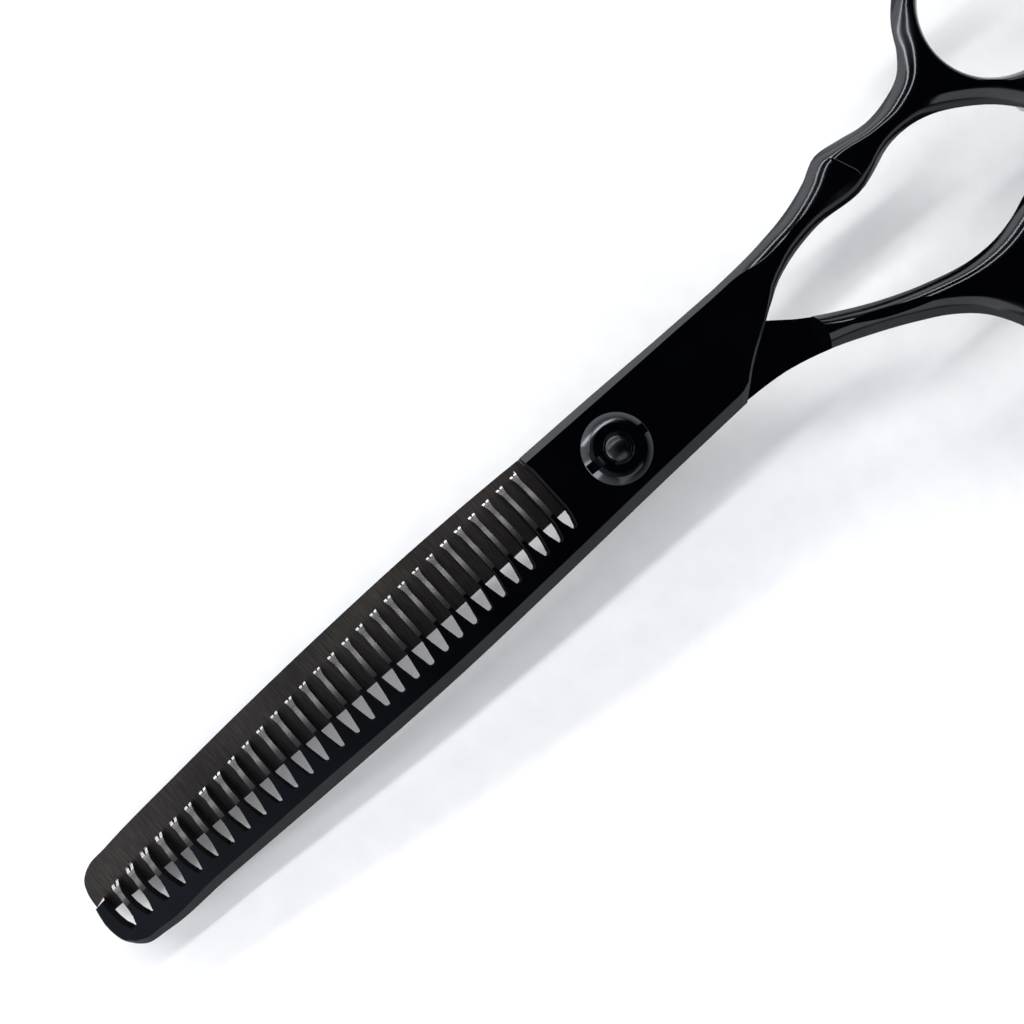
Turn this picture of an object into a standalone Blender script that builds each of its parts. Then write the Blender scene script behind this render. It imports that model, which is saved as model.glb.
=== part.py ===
"""Thinning shears: a toothed half and a plain half that turn on a ball bearing pivot.

Frame: the pivot axis is Z through the origin, and z = 0 is the flat back of the bolt head.
+X runs from the pivot to the blade tips, +Y towards the toothed blade's spine, +Z out of the nut.
Dimensions are written in millimetres and become metres where a mesh is made.
"""
from math import atan2, ceil, cos, pi, radians, sin

import bmesh
import bpy
from mathutils import Matrix, Vector
from mathutils.geometry import interpolate_bezier

MM = 0.001
COLLECTION = "thinning_shears"

# Heights
RIDE = 3.2                # plane on which the blades slide past each other
SLIT = 0.15               # half of the gap that the two halves keep at that plane
HALF_THICK = 2.6          # each half at the pivot, measured from the ride plane
TIP_THICK = 1.7           # each half at its tip, measured from the ride plane
RING_TOP = 5.0            # top of both rings; their undersides lie on z = 0
SHANK_X = -30.0           # where the shanks leave the pivot flats
RING_X = -56.0            # where the shanks reach the height of the rings
SHANK_LOW = 0.6           # underside of the shanks at SHANK_X
PLAIN_SHANK_TOP = 4.75    # top of the plain half's shank at SHANK_X

# Comb
TEETH = 30
PITCH = 2.065
FIRST_GAP_X = 8.93
GAP_TIP = 1.17            # between two tooth tips
GAP_NECK = 1.56           # behind the flared tips
GAP_WIDTH = 1.5           # where a gap starts to narrow
TIP_FLARE = 1.2           # length of the flare at a tip
GULLET_WIDTH = 0.75       # at the rounded bottom of a gap
GAP_TAPER_Y = 1.15        # place of the start
TIP_EDGE = 0.9            # top of the tooth tips above the ride plane
BEVEL_START_X = 8.4       # in the first gap
BEVEL_Y = 1.4             # where the bevel of the teeth starts on the top face

# Pivot
RELIEF_R = 27.5           # the flats on which the halves cross end in an arc of this radius
CLEAR = 0.2               # gap between neighbouring pieces of the pivot
HEAD_R = 4.6
HEAD_TOP = 1.1
BOLT_R = 1.9
BOLT_TOP = 6.65
BOLT_FLAT = 1.45          # half the width across the bolt's two flats
BUSH_R = 2.75
RIDE_WASHER_R = 4.6
RIDE_WASHER_THICK = 0.45
WELL_R = 3.75             # well in the toothed half that holds spring washer and bearing
WELL_FLOOR = 4.25
BALLS = 8
BALL_R = 0.36
BALL_CIRCLE_R = 2.98
BALL_Z = 5.2
NUT_R = 3.95
NUT_LOW = 5.95
NUT_TOP = 6.75
NUT_BOSS_R = 3.5
NUT_FLAT_R = 2.5
NOTCH = (1.2, 1.5)        # width and depth of the two spanner notches
NOTCH_TURN = -4.0         # degrees from X
CAP_R = 1.35
CAP_LOW = 5.75
CAP_TOP = 7.0

# Finger ring, on the toothed half
FINGER_RING = (-70.89, -9.09)
FINGER_HOLE = (11.5, 9.14)
FINGER_TURN = 4.7
FINGER_WALL = 3.1

# Thumb ring, on the plain half
THUMB_RING = (-61.14, 21.25)
THUMB_HOLE = (12.0, 9.2)
THUMB_TURN = 8.0
THUMB_WALL = 3.2
RING_ROUND = 1.25

# Bumper between the rings, and finger rest at the end of the finger ring
BUMPER_X = -67.54
BUMPER_FACE_Y = 5.35      # end of the lug
BUMPER_TOP_Y = 8.15
BUMPER_R = 1.8
BUMPER_STEM_R = 1.0
BUMPER_STEM = 2.2
RING_MID = RING_TOP / 2
REST_ANGLE = 190.0        # place of the finger rest round the finger ring
REST_STUD_R = 1.1
REST_STUD = 2.0
REST_COLLAR = (2.1, 1.6)  # radius and length

# Outlines: x, y and the width of the rounded edge there. A fourth value marks a corner.
CORNER = True
TOOTHED_FRONT = [
    (-13.74, 6.0, 0.7, CORNER), (-0.34, 6.07, 0.9), (13.66, 6.35, 0.9), (27.56, 6.51, 0.9),
    (43.86, 6.19, 0.9), (59.66, 5.6, 0.9), (66.7, 5.35, 0.7), (69.3, 4.75, 0.6), (70.2, 3.5, 0.4),
    (70.68, 1.9, 0.3), (70.72, 0.6, 0.2), (70.4, -1.1, 0.2, CORNER)]
TOOTHED_BACK = [
    (8.26, -5.47, 0.2, CORNER), (7.86, -6.23, 0.4, CORNER), (-0.34, -6.11, 0.8), (-13.74, -5.84, 0.8),
    (-25.24, -5.81, 0.9), (-32.74, -6.83, 1.0), (-36.44, -7.9, 1.1), (-39.84, -9.22, 1.1),
    (-42.74, -8.9, 1.1), (-46.84, -8.25, 1.2), (-50.64, -8.7, 1.2), (-54.14, -10.04, 1.25),
    (-56.14, -12.11, 1.25), (-57.64, -14.55, 1.25), (-59.64, -16.62, 1.25)]
TOOTHED_INSIDE = [
    (-71.54, 3.5, 1.25), (-69.94, 4.45, 1.0), (-68.74, 5.35, 0.5), (-66.34, 5.35, 0.5),
    (-64.54, 4.35, 1.0), (-62.74, 2.2, 1.25), (-60.74, 0.13, 1.25), (-57.84, -2.01, 1.25),
    (-53.84, -4.02, 1.2), (-50.54, -4.69, 1.2), (-47.14, -4.55, 1.1), (-43.94, -3.59, 1.1),
    (-40.99, -2.95, 1.1), (-34.44, -3.25, 1.0), (-30.19, -2.69, 0.9), (-26.54, -1.67, 0.8),
    (-22.94, 0.05, 0.4, CORNER)]
PLAIN_FRONT = [
    (-14.74, -5.05, 0.4, CORNER), (-13.34, -5.5, 0.5), (-8.0, -5.6, 0.8), (-0.34, -5.75, 0.8),
    (11.66, -6.4, 0.9), (23.36, -6.67, 0.9), (35.76, -6.55, 0.9), (55.76, -5.78, 0.9),
    (66.5, -5.05, 0.8), (68.9, -4.75, 0.5), (70.1, -3.9, 0.3), (70.6, -2.8, 0.2), (70.9, -1.3, 0.2),
    (70.9, 0.25, 0.12, CORNER), (56.66, 0.7, 0.12), (42.66, 1.0, 0.12), (25.66, 1.25, 0.12),
    (7.9, 1.2, 0.12, CORNER), (5.16, 5.05, 0.4), (2.66, 5.75, 0.6), (-8.34, 5.75, 0.7),
    (-16.04, 5.9, 0.8), (-20.64, 6.38, 0.9), (-25.24, 7.51, 1.0), (-30.74, 9.72, 1.1),
    (-35.99, 12.24, 1.2), (-39.74, 14.41, 1.25), (-42.84, 17.15, 1.25), (-44.84, 20.35, 1.25)]
PLAIN_INSIDE = [
    (-55.94, 10.0, 1.25), (-53.14, 10.86, 1.25), (-49.54, 11.45, 1.2), (-45.84, 11.3, 1.2),
    (-40.24, 9.89, 1.2), (-34.54, 7.7, 1.1), (-29.44, 5.1, 1.0), (-26.34, 3.25, 0.8),
    (-22.94, 0.65, 0.4, CORNER)]
REST_PATH = [(0.0, 0.0), (5.0, 0.2), (10.5, 1.9), (15.5, 5.0), (19.0, 9.0)]


def clear_scene():
    for obj in list(bpy.data.objects):
        bpy.data.objects.remove(obj, do_unlink=True)


def collection(name):
    new = bpy.data.collections.new(name)
    bpy.context.scene.collection.children.link(new)
    return new


def material(name, colour, roughness, metallic):
    mat = bpy.data.materials.new(name)
    mat.use_nodes = True
    shader = mat.node_tree.nodes["Principled BSDF"]
    shader.inputs["Base Color"].default_value = (*colour, 1.0)
    shader.inputs["Roughness"].default_value = roughness
    shader.inputs["Metallic"].default_value = metallic
    return mat


def ramp(x, x0, v0, x1, v1):
    """Value that runs from v0 at x0 to v1 at x1 and is held outside them."""
    t = min(max((x - x0) / (x1 - x0), 0.0), 1.0)
    return v0 + (v1 - v0) * t


# ---------------------------------------------------------------- outlines

def tooth_tip_y(x):
    """The tooth tips lie on a shallow curve that falls back towards the blade's end."""
    run = x - 9.66
    return -5.4 + 0.025 * run + 0.0007 * run * run


def gullet_y(x):
    """Depth of the gaps: deepest at the middle of the comb."""
    return 3.77 - 0.00075 * (x - 35.66) ** 2


def ellipse(centre, axes, turn, start, stop, count, edge):
    """Points on an ellipse turned about Z, angles in degrees."""
    spin = Matrix.Rotation(radians(turn), 2)
    points = []
    for i in range(count):
        angle = radians(start + (stop - start) * i / max(count - 1, 1))
        x, y = spin @ Vector((axes[0] * cos(angle), axes[1] * sin(angle)))
        points.append((centre[0] + x, centre[1] + y, edge))
    return points


def smooth_loop(points, turn_step=radians(11)):
    """Closed smooth curve through the points, with corners where they are marked.

    Returns x, y and edge width at each sample; a straight stretch gets few samples."""
    count = len(points)
    place = [Vector(p[:3]) for p in points]
    corner = [len(p) > 3 for p in points]
    samples = []
    for i in range(count):
        a, b = place[i], place[(i + 1) % count]
        before, after = place[i - 1], place[(i + 2) % count]
        length = (b - a).length
        leave = (b - a) / length
        arrive = leave
        if not corner[i]:
            leave = ((a - before) / (a - before).length * length + (b - a) / length
                     * (a - before).length).normalized()
        if not corner[(i + 1) % count]:
            arrive = ((b - a) / length * (after - b).length + (after - b) / (after - b).length
                      * length).normalized()
        bend = leave.angle(b - a, 0.0) + arrive.angle(b - a, 0.0)
        steps = max(1, ceil(bend / turn_step))
        curve = interpolate_bezier(a, a + leave * length / 3, b - arrive * length / 3, b, steps + 1)
        samples += curve[:-1]
    return samples


def inset_loop(samples, share):
    """The loop moved to its left by the given share of its edge widths."""
    count = len(samples)
    moved = []
    for i, point in enumerate(samples):
        back = (point - samples[i - 1]).xy.normalized()
        ahead = (samples[(i + 1) % count] - point).xy.normalized()
        left_back = Vector((-back.y, back.x))
        left_ahead = Vector((-ahead.y, ahead.x))
        left = left_back + left_ahead
        left /= max(left.length_squared / 2, 0.6)
        moved.append(point.xy + left * point.z * share)
    return moved


def plate(name, loops, low, high, target):
    """Solid between two heights with rounded edges: each loop is lofted through its insets.

    The material lies to the left of every loop. low and high give the heights at x."""
    edge_profile = [(1.0, 0.0), (0.3, 0.3), (0.0, 1.0)]     # shares of the edge width: inset, drop
    mesh = bmesh.new()
    rims = {"low": [], "high": []}
    for samples in loops:
        levels = []
        for inset, drop in edge_profile:
            ring = inset_loop(samples, inset)
            levels.append([(p.x, p.y, low(p.x) + s.z * drop) for p, s in zip(ring, samples)])
        for inset, drop in reversed(edge_profile):
            ring = inset_loop(samples, inset)
            levels.append([(p.x, p.y, high(p.x) - s.z * drop) for p, s in zip(ring, samples)])
        rows = [[mesh.verts.new(Vector(p) * MM) for p in level] for level in levels]
        for lower, upper in zip(rows, rows[1:]):
            for i in range(len(lower)):
                mesh.faces.new((lower[i - 1], upper[i - 1], upper[i], lower[i]))
        rims["low"].append(rows[0])
        rims["high"].append(rows[-1])
    for side in rims.values():
        edges = []
        for row in side:
            edges += [mesh.edges.get((row[i - 1], row[i])) for i in range(len(row))]
        bmesh.ops.triangle_fill(mesh, use_beauty=True, edges=edges)
    bmesh.ops.recalc_face_normals(mesh, faces=mesh.faces)
    return add_mesh(name, mesh, target)


# ---------------------------------------------------------------- mesh helpers

def add_mesh(name, mesh, target):
    data = bpy.data.meshes.new(name)
    mesh.to_mesh(data)
    mesh.free()
    obj = bpy.data.objects.new(name, data)
    target.objects.link(obj)
    return obj


def prism(name, outlines, low, high, target):
    """Straight extrusion of one or more plain outlines, each a separate block."""
    mesh = bmesh.new()
    for outline in outlines:
        base = mesh.faces.new([mesh.verts.new(Vector((x, y, low)) * MM) for x, y in outline])
        grown = bmesh.ops.extrude_face_region(mesh, geom=[base])["geom"]
        top = [v for v in grown if isinstance(v, bmesh.types.BMVert)]
        bmesh.ops.translate(mesh, verts=top, vec=Vector((0, 0, high - low)) * MM)
    bmesh.ops.recalc_face_normals(mesh, faces=mesh.faces)
    return add_mesh(name, mesh, target)


def turned(name, profile, target, steps=32):
    """Solid of revolution about Z from radius and height pairs, closed on the axis or as a ring."""
    mesh = bmesh.new()
    verts = [mesh.verts.new(Vector((r, 0, z)) * MM) for r, z in profile]
    for a, b in zip(verts, verts[1:] + verts[:1]):
        mesh.edges.new((a, b))
    bmesh.ops.spin(mesh, geom=list(mesh.verts) + list(mesh.edges), axis=(0, 0, 1),
                   cent=(0, 0, 0), angle=2 * pi, steps=steps, use_merge=True)
    bmesh.ops.remove_doubles(mesh, verts=mesh.verts, dist=0.002 * MM)
    bmesh.ops.dissolve_degenerate(mesh, dist=0.001 * MM, edges=mesh.edges)
    axis_edges = [e for e in mesh.edges if e.verts[0].co.xy.length + e.verts[1].co.xy.length < 1e-7]
    bmesh.ops.delete(mesh, geom=axis_edges, context="EDGES")
    bmesh.ops.recalc_face_normals(mesh, faces=mesh.faces)
    return add_mesh(name, mesh, target)


def cylinder(name, radius, low, high, target, segments=32):
    mesh = bmesh.new()
    bmesh.ops.create_cone(mesh, cap_ends=True, segments=segments, radius1=radius * MM,
                          radius2=radius * MM, depth=(high - low) * MM)
    bmesh.ops.translate(mesh, verts=mesh.verts, vec=Vector((0, 0, (low + high) / 2)) * MM)
    return add_mesh(name, mesh, target)


def block(name, low, high, target):
    mesh = bmesh.new()
    bmesh.ops.create_cube(mesh, size=1.0)
    size = [(b - a) * MM for a, b in zip(low, high)]
    middle = [(a + b) / 2 * MM for a, b in zip(low, high)]
    bmesh.ops.scale(mesh, verts=mesh.verts, vec=size)
    bmesh.ops.translate(mesh, verts=mesh.verts, vec=middle)
    return add_mesh(name, mesh, target)


def combine(obj, other, operation="DIFFERENCE"):
    step = obj.modifiers.new(other.name, "BOOLEAN")
    step.object = other
    step.operation = operation
    other.hide_render = True
    other.display_type = "WIRE"


# ---------------------------------------------------------------- the two halves

def blade_thickness(x):
    return ramp(x, 8.0, HALF_THICK, 71.0, TIP_THICK)


def top_height(x):
    """Upper face: blade in front, shank and ring behind."""
    if x > 0:
        return RIDE + blade_thickness(x)
    return ramp(x, SHANK_X, RIDE + HALF_THICK, RING_X, RING_TOP)


def plain_top(x):
    """The plain half's shank stands lower above the ride plane than the toothed half's."""
    return ramp(x, SHANK_X, PLAIN_SHANK_TOP, RING_X, RING_TOP)


def low_height(x):
    if x > 0:
        return RIDE - blade_thickness(x)
    return ramp(x, SHANK_X, SHANK_LOW, RING_X, 0.0)


def gap_outline(x):
    """One gap of the comb: narrower between the tooth tips, and narrowing to a round gullet."""
    tip = tooth_tip_y(x)
    narrow = GULLET_WIDTH / 2
    side = [(GAP_TIP / 2, -9.0), (GAP_TIP / 2, tip + TIP_FLARE / 3), (GAP_NECK / 2, tip + TIP_FLARE),
            (GAP_WIDTH / 2, GAP_TAPER_Y)]
    points = [(x + half_width, y) for half_width, y in side]
    for step in range(7):
        angle = pi * step / 6
        points.append((x + narrow * cos(angle), gullet_y(x) - narrow + narrow * sin(angle)))
    return points + [(x - half_width, y) for half_width, y in reversed(side)]


def toothed_half(parts, cutters, steel):
    tip_line = [(x, tooth_tip_y(x), 0.2) for x in (69.6, 56.0, 40.0, 25.0)]
    ring = ellipse(FINGER_RING, [a + FINGER_WALL for a in FINGER_HOLE], FINGER_TURN,
                   -65.0, -266.0, 12, RING_ROUND)
    outer = TOOTHED_FRONT + tip_line + TOOTHED_BACK + ring + TOOTHED_INSIDE
    hole = ellipse(FINGER_RING, FINGER_HOLE, FINGER_TURN, 0.0, 345.0, 24, RING_ROUND)
    loops = [smooth_loop(outer)[::-1], smooth_loop(hole)]
    half = plate("toothed_half", [loops[0], loops[1][::-1]], low_height, top_height, parts)

    relief = cylinder("toothed_relief", RELIEF_R, -1.0, RIDE + SLIT, cutters, segments=64)
    combine(half, relief)
    combine(half, block("toothed_underside", (0, -20, -1), (90, 20, RIDE + SLIT), cutters))
    slope = atan2(HALF_THICK - TIP_EDGE, BEVEL_Y + 5.0)
    bevel = block("tooth_bevel", (BEVEL_START_X, -20, 0), (90, 0, 5), cutters)
    bevel.location = Vector((0, BEVEL_Y, RIDE + HALF_THICK - 0.15)) * MM
    bevel.rotation_euler = (slope, 0, 0)
    combine(half, bevel)
    gaps = [gap_outline(FIRST_GAP_X + PITCH * i) for i in range(TEETH)]
    combine(half, prism("comb_gaps", gaps, 0.0, 9.0, cutters))
    combine(half, cylinder("bush_bore", BUSH_R + CLEAR, 1.0, 8.0, cutters))
    combine(half, cylinder("bearing_well", WELL_R, WELL_FLOOR, 8.0, cutters))
    combine(half, bumper_bore(cutters))
    combine(half, rest_bore(cutters))
    half.data.materials.append(steel)
    return half


def plain_half(parts, cutters, steel):
    ring = ellipse(THUMB_RING, [a + THUMB_WALL for a in THUMB_HOLE], THUMB_TURN,
                   12.0, 236.0, 13, RING_ROUND)
    outer = PLAIN_FRONT + ring + PLAIN_INSIDE
    hole = ellipse(THUMB_RING, THUMB_HOLE, THUMB_TURN, 0.0, 345.0, 24, RING_ROUND)
    half = plate("plain_half", [smooth_loop(outer), smooth_loop(hole)[::-1]],
                 low_height, plain_top, parts)

    relief = cylinder("plain_relief", RELIEF_R, RIDE - SLIT, 9.0, cutters, segments=64)
    combine(half, relief)
    combine(half, block("plain_upper_side", (0, -20, RIDE - SLIT), (90, 20, 9), cutters))
    knife = block("knife_bevel", (9.0, -30, -6), (90, 30, 0), cutters)
    knife.location = Vector((0, 1.0, RIDE - 0.55)) * MM
    knife.rotation_euler = (radians(23.0), 0, 0)
    combine(half, knife)
    combine(half, cylinder("head_recess", HEAD_R + CLEAR, -1.0, HEAD_TOP + CLEAR, cutters))
    combine(half, cylinder("washer_recess", RIDE_WASHER_R + CLEAR,
                           RIDE - SLIT - RIDE_WASHER_THICK - CLEAR, 9.0, cutters))
    combine(half, flatted_rod("bolt_bore", BOLT_R + CLEAR, BOLT_FLAT + CLEAR, 0.5, 8.0, cutters))
    half.data.materials.append(steel)
    return half


# ---------------------------------------------------------------- the pivot

def flatted_rod(name, radius, flat, low, high, target):
    """Round rod with two flats that face +Y and -Y."""
    edge = []
    for i in range(32):
        angle = 2 * pi * i / 32
        edge.append((radius * cos(angle), min(max(radius * sin(angle), -flat), flat)))
    return prism(name, [edge], low, high, target)


def pivot_bolt(parts, cutters, steel):
    bolt = turned("pivot_bolt", [(0, 0), (HEAD_R - 0.3, 0), (HEAD_R, 0.3), (HEAD_R, HEAD_TOP),
                                 (BOLT_R, HEAD_TOP), (BOLT_R, BOLT_TOP - 0.15),
                                 (BOLT_R - 0.15, BOLT_TOP), (CAP_R + CLEAR, BOLT_TOP),
                                 (CAP_R + CLEAR, CAP_LOW - CLEAR), (0, CAP_LOW - CLEAR)], parts)
    for side in (-1, 1):
        low_y, high_y = sorted((side * BOLT_FLAT, side * 3.0))
        combine(bolt, block("bolt_flat_%s" % ("left" if side < 0 else "right"),
                            (-3, low_y, HEAD_TOP), (3, high_y, RIDE - SLIT), cutters))
    bolt.data.materials.append(steel)
    return bolt


def ring_piece(name, inner, outer, low, high, parts, mat):
    piece = turned(name, [(inner, low), (outer, low), (outer, high), (inner, high)], parts)
    piece.data.materials.append(mat)
    return piece


def spring_washer(parts, steel):
    """Cupped spring washer at the bottom of the bearing well."""
    low = WELL_FLOOR + CLEAR / 2
    washer = turned("spring_washer", [(BOLT_R + CLEAR, low + 0.12), (WELL_R - 0.25, low),
                                      (WELL_R - 0.25, low + 0.2), (BOLT_R + CLEAR, low + 0.32)], parts)
    washer.data.materials.append(steel)
    return washer


def thrust_bearing(parts, cutters, steel, brass):
    cage = ring_piece("bearing_cage", BOLT_R + CLEAR, WELL_R - 0.25, BALL_Z - 0.18, BALL_Z + 0.18,
                      parts, brass)
    for i in range(BALLS):
        angle = 2 * pi * i / BALLS
        place = Vector((BALL_CIRCLE_R * cos(angle), BALL_CIRCLE_R * sin(angle), BALL_Z)) * MM
        pocket = cylinder("ball_pocket_%d" % (i + 1), BALL_R + 0.12, -1.0, 1.0, cutters, segments=12)
        pocket.location = place
        combine(cage, pocket)
        mesh = bmesh.new()
        bmesh.ops.create_uvsphere(mesh, u_segments=10, v_segments=6, radius=BALL_R * MM)
        ball = add_mesh("bearing_ball_%d" % (i + 1), mesh, parts)
        ball.location = place
        ball.data.materials.append(steel)


def tension_nut(parts, cutters, steel):
    """Disc with a boss below, a flat middle, a rim that slopes outwards, and two notches."""
    bore = BOLT_R + CLEAR
    nut = turned("tension_nut", [(bore, NUT_LOW - 0.25), (NUT_BOSS_R, NUT_LOW - 0.25),
                                 (NUT_BOSS_R, NUT_LOW), (NUT_R, NUT_LOW), (NUT_R, NUT_LOW + 0.23),
                                 ((NUT_R + NUT_FLAT_R) / 2, NUT_TOP - 0.14), (NUT_FLAT_R, NUT_TOP),
                                 (bore, NUT_TOP)], parts, steps=48)
    for side in (0, 180):
        notch = block("nut_notch_%d" % side, (NUT_R - NOTCH[1], -NOTCH[0] / 2, NUT_LOW + 0.2),
                      (NUT_R + 1, NOTCH[0] / 2, NUT_TOP + 1), cutters)
        notch.rotation_euler = (0, 0, radians(side + NOTCH_TURN))
        combine(nut, notch)
    nut.data.materials.append(steel)
    return nut


def lock_cap(parts, steel):
    dome = [(CAP_R * cos(a), BOLT_TOP - 0.1 + (CAP_TOP - BOLT_TOP + 0.1) * sin(a))
            for a in (pi / 2 * i / 5 for i in range(5))]
    cap = turned("lock_cap", [(0, CAP_LOW), (CAP_R, CAP_LOW)] + dome + [(0, CAP_TOP)], parts, steps=24)
    cap.data.materials.append(steel)
    return cap


# ---------------------------------------------------------------- bumper and finger rest

def bumper_frame():
    """The bumper's axis: its own +Z points along +Y from the lug's face."""
    return Matrix.Translation(Vector((BUMPER_X, BUMPER_FACE_Y, RING_MID)) * MM) @ Matrix.Rotation(
        -pi / 2, 4, "X")


def bumper_bore(cutters):
    bore = cylinder("bumper_bore", BUMPER_STEM_R + CLEAR, -BUMPER_STEM - CLEAR, 3.0, cutters, 20)
    bore.matrix_world = bumper_frame()
    return bore


def bumper(parts, rubber):
    reach = BUMPER_TOP_Y - BUMPER_FACE_Y
    piece = turned("bumper", [(0, -BUMPER_STEM), (BUMPER_STEM_R, -BUMPER_STEM), (BUMPER_STEM_R, CLEAR),
                              (BUMPER_R, CLEAR), (BUMPER_R, reach - 0.8), (BUMPER_R - 0.25, reach - 0.3),
                              (BUMPER_R - 0.8, reach), (0, reach)], parts, steps=20)
    piece.matrix_world = bumper_frame()
    piece.data.materials.append(rubber)
    return piece


def rest_frame():
    """The finger rest's own +X leaves the ring's outer wall squarely."""
    angle = radians(REST_ANGLE)
    axes = [a + FINGER_WALL for a in FINGER_HOLE]
    spin = Matrix.Rotation(radians(FINGER_TURN), 2)
    place = Vector(FINGER_RING) + spin @ Vector((axes[0] * cos(angle), axes[1] * sin(angle)))
    out = spin @ Vector((cos(angle) / axes[0], sin(angle) / axes[1]))
    return Matrix.Translation(Vector((*place, RING_MID)) * MM) @ Matrix.Rotation(
        atan2(out.y, out.x), 4, "Z")


def rest_bore(cutters):
    bore = cylinder("rest_bore", REST_STUD_R + CLEAR, -REST_STUD - CLEAR, 3.0, cutters, 20)
    bore.matrix_world = rest_frame() @ Matrix.Rotation(pi / 2, 4, "Y")
    return bore


def finger_rest(parts, steel):
    """Stud, collar and a tapering curved rod with a rounded end, in one piece."""
    radius, length = REST_COLLAR
    frame = rest_frame()
    piece = turned("finger_rest", [(0, -REST_STUD), (REST_STUD_R, -REST_STUD), (REST_STUD_R, CLEAR),
                                   (radius, CLEAR), (radius, length - 0.3), (radius - 0.4, length),
                                   (0, length)], parts, steps=24)
    piece.matrix_world = frame @ Matrix.Rotation(pi / 2, 4, "Y")

    curve = bpy.data.curves.new("rest_rod", "CURVE")
    curve.dimensions = "3D"
    curve.bevel_depth = 1.0 * MM
    curve.bevel_resolution = 2
    curve.resolution_u = 5
    curve.use_fill_caps = True
    spline = curve.splines.new("BEZIER")
    spline.bezier_points.add(len(REST_PATH) - 1)
    for point, (x, y), size in zip(spline.bezier_points, REST_PATH, (1.5, 1.35, 1.25, 1.4, 1.1)):
        point.co = Vector((x + 0.6, y, 0)) * MM
        point.radius = size
        point.handle_left_type = "AUTO"
        point.handle_right_type = "AUTO"
    rod = bpy.data.objects.new("rest_rod", curve)
    parts.objects.link(rod)
    bpy.context.view_layer.update()
    data = bpy.data.meshes.new_from_object(rod.evaluated_get(bpy.context.evaluated_depsgraph_get()))
    parts.objects.unlink(rod)
    bpy.data.objects.remove(rod)
    mesh = bmesh.new()
    mesh.from_mesh(data)
    bmesh.ops.remove_doubles(mesh, verts=mesh.verts, dist=0.01 * MM)
    bmesh.ops.recalc_face_normals(mesh, faces=mesh.faces)
    rod = add_mesh("rest_rod", mesh, bpy.data.collections["cutters"])
    rod.matrix_world = frame
    combine(piece, rod, "UNION")
    piece.data.materials.append(steel)
    return piece


def main():
    clear_scene()
    parts = collection(COLLECTION)
    cutters = collection("cutters")
    black_steel = material("black_steel", (0.012, 0.012, 0.013), 0.22, 1.0)
    plain_steel = material("plain_steel", (0.55, 0.56, 0.57), 0.3, 1.0)
    brass = material("brass", (0.6, 0.42, 0.17), 0.35, 1.0)
    polymer = material("white_polymer", (0.8, 0.8, 0.78), 0.5, 0.0)
    rubber = material("black_rubber", (0.02, 0.02, 0.02), 0.8, 0.0)

    toothed_half(parts, cutters, black_steel)
    plain_half(parts, cutters, black_steel)
    pivot_bolt(parts, cutters, black_steel)
    ring_piece("pivot_bushing", BOLT_R + CLEAR, BUSH_R, RIDE + SLIT, WELL_FLOOR, parts, brass)
    ring_piece("ride_washer", BOLT_R + 2 * CLEAR, RIDE_WASHER_R, RIDE - SLIT - RIDE_WASHER_THICK,
               RIDE - SLIT, parts, polymer)
    spring_washer(parts, plain_steel)
    thrust_bearing(parts, cutters, plain_steel, brass)
    tension_nut(parts, cutters, black_steel)
    lock_cap(parts, black_steel)
    bumper(parts, rubber)
    finger_rest(parts, black_steel)


main()
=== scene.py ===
"""Looks of the thinning shears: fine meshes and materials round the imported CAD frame.

Frame: pivot axis on Z at the origin, +X to the blade tips, +Y to the toothed blade's spine, +Z up.
Shapes are written in millimetres and become metres where a mesh is made."""
from math import atan2, ceil, cos, pi, radians, sin, sqrt, tan

import bmesh
import bpy
import numpy as np
from mathutils import Matrix, Vector

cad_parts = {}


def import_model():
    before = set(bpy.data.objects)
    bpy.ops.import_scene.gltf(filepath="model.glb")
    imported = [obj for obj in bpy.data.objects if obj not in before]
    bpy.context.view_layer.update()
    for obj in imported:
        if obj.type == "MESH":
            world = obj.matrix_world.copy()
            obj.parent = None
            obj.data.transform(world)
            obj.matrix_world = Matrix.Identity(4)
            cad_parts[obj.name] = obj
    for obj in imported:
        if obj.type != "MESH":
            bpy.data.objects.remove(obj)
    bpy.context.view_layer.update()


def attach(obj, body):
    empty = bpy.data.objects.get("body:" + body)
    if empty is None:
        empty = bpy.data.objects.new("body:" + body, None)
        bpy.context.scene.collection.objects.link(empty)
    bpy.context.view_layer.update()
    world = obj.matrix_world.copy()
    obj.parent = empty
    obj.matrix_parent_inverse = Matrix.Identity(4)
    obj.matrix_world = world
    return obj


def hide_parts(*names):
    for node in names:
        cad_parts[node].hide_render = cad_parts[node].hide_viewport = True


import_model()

MM = 0.001
SCENE = bpy.context.scene

# Heights
RIDE = 3.2                # plane on which the blades slide past each other
SLIT = 0.15               # half of the gap that the two halves keep at that plane
HALF_THICK = 2.6          # each half at the pivot, measured from the ride plane
TIP_THICK = 1.7           # each half at its tip, measured from the ride plane
BLADE_X = (8.0, 71.0)     # the blades grow thinner between these places
RING_TOP = 5.0            # top of both rings; their undersides lie on z = 0
SHANK_X = -30.0           # where the shanks leave the pivot flats
RING_X = -56.0            # where the shanks reach the height of the rings
SHANK_LOW = 0.6           # underside of the shanks at SHANK_X
PLAIN_SHANK_X = -27.0     # where the plain half's shank leaves its flat
PLAIN_SHANK_TOP = 4.75    # its top there
CROWN_RISE = 0.3          # ridge across the knuckle
CROWN_REACH = 5.0         # distance over which it dies out
KNUCKLE = (-39.48, -9.22)
KNUCKLE_SLANT = 0.427     # how far the ridge leans from Y

# Cutters reach beyond the piece that they cut
BELOW = -1.0
OVER_BORE = 8.0
OVER_PLATE = 9.0
OVER_BEVEL = 12.0
BEYOND_TIP_X = 90
BEYOND_EDGE_Y = 20

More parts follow.
